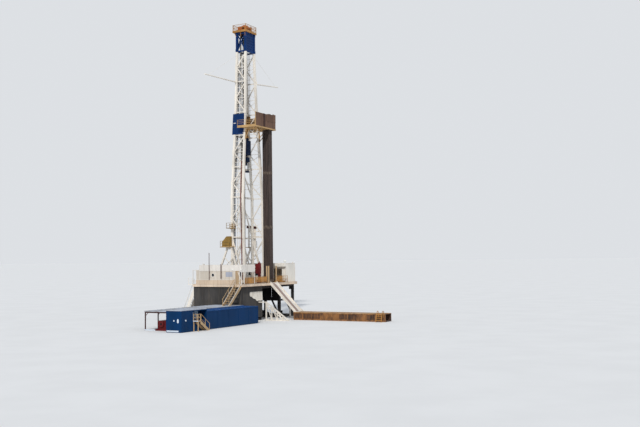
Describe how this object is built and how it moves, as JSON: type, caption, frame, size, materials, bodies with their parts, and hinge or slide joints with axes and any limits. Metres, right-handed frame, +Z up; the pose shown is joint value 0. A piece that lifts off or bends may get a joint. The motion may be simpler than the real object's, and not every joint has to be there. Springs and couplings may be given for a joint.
{
  "type": "land drilling rig with raised mast, 1:2 scale model",
  "caption": "Land drilling rig, half size: braced mast with crown and racking board on a raised floor with houses, ramp, catwalk and a long blue building.",
  "frame": {"origin": "middle of the whole footprint, on the ground; the well centre stands at x -4.820, y 5.175 m", "axes": "+X towards the ramp and catwalk, +Y away from the driller's house, +Z up"},
  "size_m": [16.8003, 19.6549, 25.4411],
  "materials": {
    "white_paint": "worn gloss",
    "dark_grey_paint": "matt, dusty",
    "white_sheet": "matt",
    "blue_paint": "worn gloss",
    "yellow_paint": "worn gloss",
    "tan_paint": "dusty",
    "orange_paint": "worn gloss",
    "red_paint": "dusty",
    "pipe_steel": "brown mill finish",
    "grey_paint": "greasy",
    "wire_rope": "greased",
    "brown_sheet": "rusty, matt",
    "dark_pole": "matt",
    "pale_roof": "matt",
    "pale_blue_paint": "matt"
  },
  "bodies": {
    "rig": {"substructure_trusses": "dark_grey_paint", "substructure_cross_beams": "dark_grey_paint", "floor_deck": "tan_paint", "rotary_table": "grey_paint", "floor_windwalls": "dark_grey_paint", "white_tarp": "white_sheet", "front_struts": "white_paint", "rear_stair": "white_paint", "mast_sides_lower": "white_paint", "mast_sides_upper": "white_paint", "mast_back_lower": "white_paint", "mast_back_upper": "white_paint", "mast_top_section": "blue_paint", "racking_level_panel": "blue_paint", "crown_platform": "yellow_paint", "crown_block": "orange_paint", "mast_ladder": "white_paint", "standpipe": "red_paint", "racking_board": "yellow_paint", "racking_windwall": "brown_sheet", "pipe_stands": "pipe_steel", "mast_poles": "white_paint", "a_frames": "white_paint", "service_platforms": "yellow_paint", "drawworks": "blue_paint", "guide_rails": "grey_paint", "drilling_lines": "wire_rope", "fast_and_dead_lines": "wire_rope", "doghouse_walls": "white_paint", "doghouse_roof": "white_paint", "landing_walls": "white_paint", "house_poles": "dark_pole", "far_side_house": "white_paint", "iron_roughneck": "red_paint", "floor_rails": "yellow_paint", "v_door_posts": "tan_paint", "v_door_ramp": "white_paint", "catwalk": "tan_paint", "floor_stair": "tan_paint", "blue_building": "blue_paint", "pale_roofs": "pale_roof", "porch_steps": "tan_paint", "shed_posts": "brown_sheet", "mud_pump": "red_paint"},
    "hoist": {"travelling_block": "yellow_paint", "top_drive": "grey_paint"},
    "door": {"porch_door": "pale_blue_paint"}
  },
  "joints": [
    {"name": "hoist_slide", "type": "slide", "parent": "rig", "child": "hoist", "axis": [0, 0, 1], "range_m": [-9.2, 6.39], "deforming": ["drilling_lines"]},
    {"name": "door_hinge", "type": "hinge", "parent": "rig", "child": "door", "pos_m": [-1.18, -7.475, 1.1], "axis": [0, 0, -1], "range_deg": [0, 95]}
  ]
}
